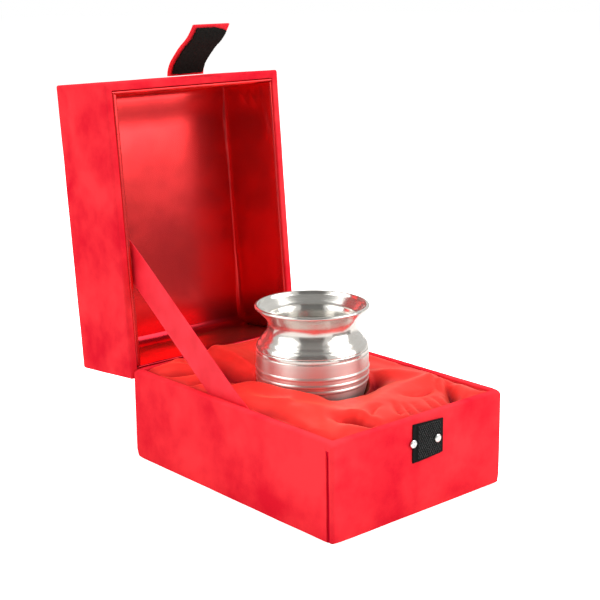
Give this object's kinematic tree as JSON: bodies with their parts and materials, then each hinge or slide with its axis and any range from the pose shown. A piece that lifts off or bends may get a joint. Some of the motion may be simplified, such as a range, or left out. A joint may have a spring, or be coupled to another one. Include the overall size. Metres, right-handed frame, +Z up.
{
  "type": "kalash in presentation case",
  "caption": "Small spun metal kalash seated in a satin cushion inside a hinged velvet presentation case with a ribbon stay and a hook-and-loop strap closure.",
  "frame": {"origin": "middle of the case's underside, where it stands on the table", "axes": "+Z up, case front towards -Y, +X to the right seen from the front; the lid's hinge runs along X at the back"},
  "size_m": [0.112, 0.214, 0.2183],
  "materials": {
    "red_velvet": "matte",
    "red_satin": "satin",
    "red_paper": "matte",
    "greyboard": "matte",
    "foam": "matte",
    "black_tape": "matte",
    "rivet_metal": "satin",
    "silver_plate": "polished"
  },
  "bodies": {
    "case_base": {"base_front_velvet": "red_velvet", "base_front_board": "greyboard", "base_right_velvet": "red_velvet", "base_right_board": "greyboard", "base_back_velvet": "red_velvet", "base_back_board": "greyboard", "base_left_velvet": "red_velvet", "base_left_board": "greyboard", "base_bottom_sheet": "red_paper", "base_floor_board": "greyboard", "foam_bed": "foam", "satin_cushion": "red_satin", "hook_tape": "black_tape", "rivet_left": "rivet_metal", "rivet_right": "rivet_metal", "hinge_cloth": "red_velvet", "stay_ribbon": "red_satin"},
    "lid": {"lid_front_velvet": "red_velvet", "lid_front_board": "greyboard", "lid_lining_front": "red_satin", "lid_right_velvet": "red_velvet", "lid_right_board": "greyboard", "lid_lining_right": "red_satin", "lid_back_velvet": "red_velvet", "lid_back_board": "greyboard", "lid_lining_back": "red_satin", "lid_left_velvet": "red_velvet", "lid_left_board": "greyboard", "lid_lining_left": "red_satin", "lid_top_velvet": "red_velvet", "lid_top_board": "greyboard", "lid_lining_top": "red_satin"},
    "strap": {"strap_velvet": "red_velvet", "loop_tape": "black_tape"},
    "kalash": {"kalash": "silver_plate"}
  },
  "joints": [
    {"name": "lid_hinge", "type": "hinge", "parent": "case_base", "child": "lid", "pos_m": [0, 0.07327, 0.04356], "axis": [-1, 0, 0], "range_deg": [-95, 0], "deforming": ["stay_ribbon", "hinge_cloth"]},
    {"name": "strap_flap", "type": "hinge", "parent": "lid", "child": "strap", "pos_m": [0, 0.10268, 0.19113], "axis": [-1, 0, 0], "range_deg": [-34, 90]},
    {"name": "kalash_lift", "type": "slide", "parent": "case_base", "child": "kalash", "axis": [0, 0, 1], "range_m": [0, 0.08]}
  ]
}
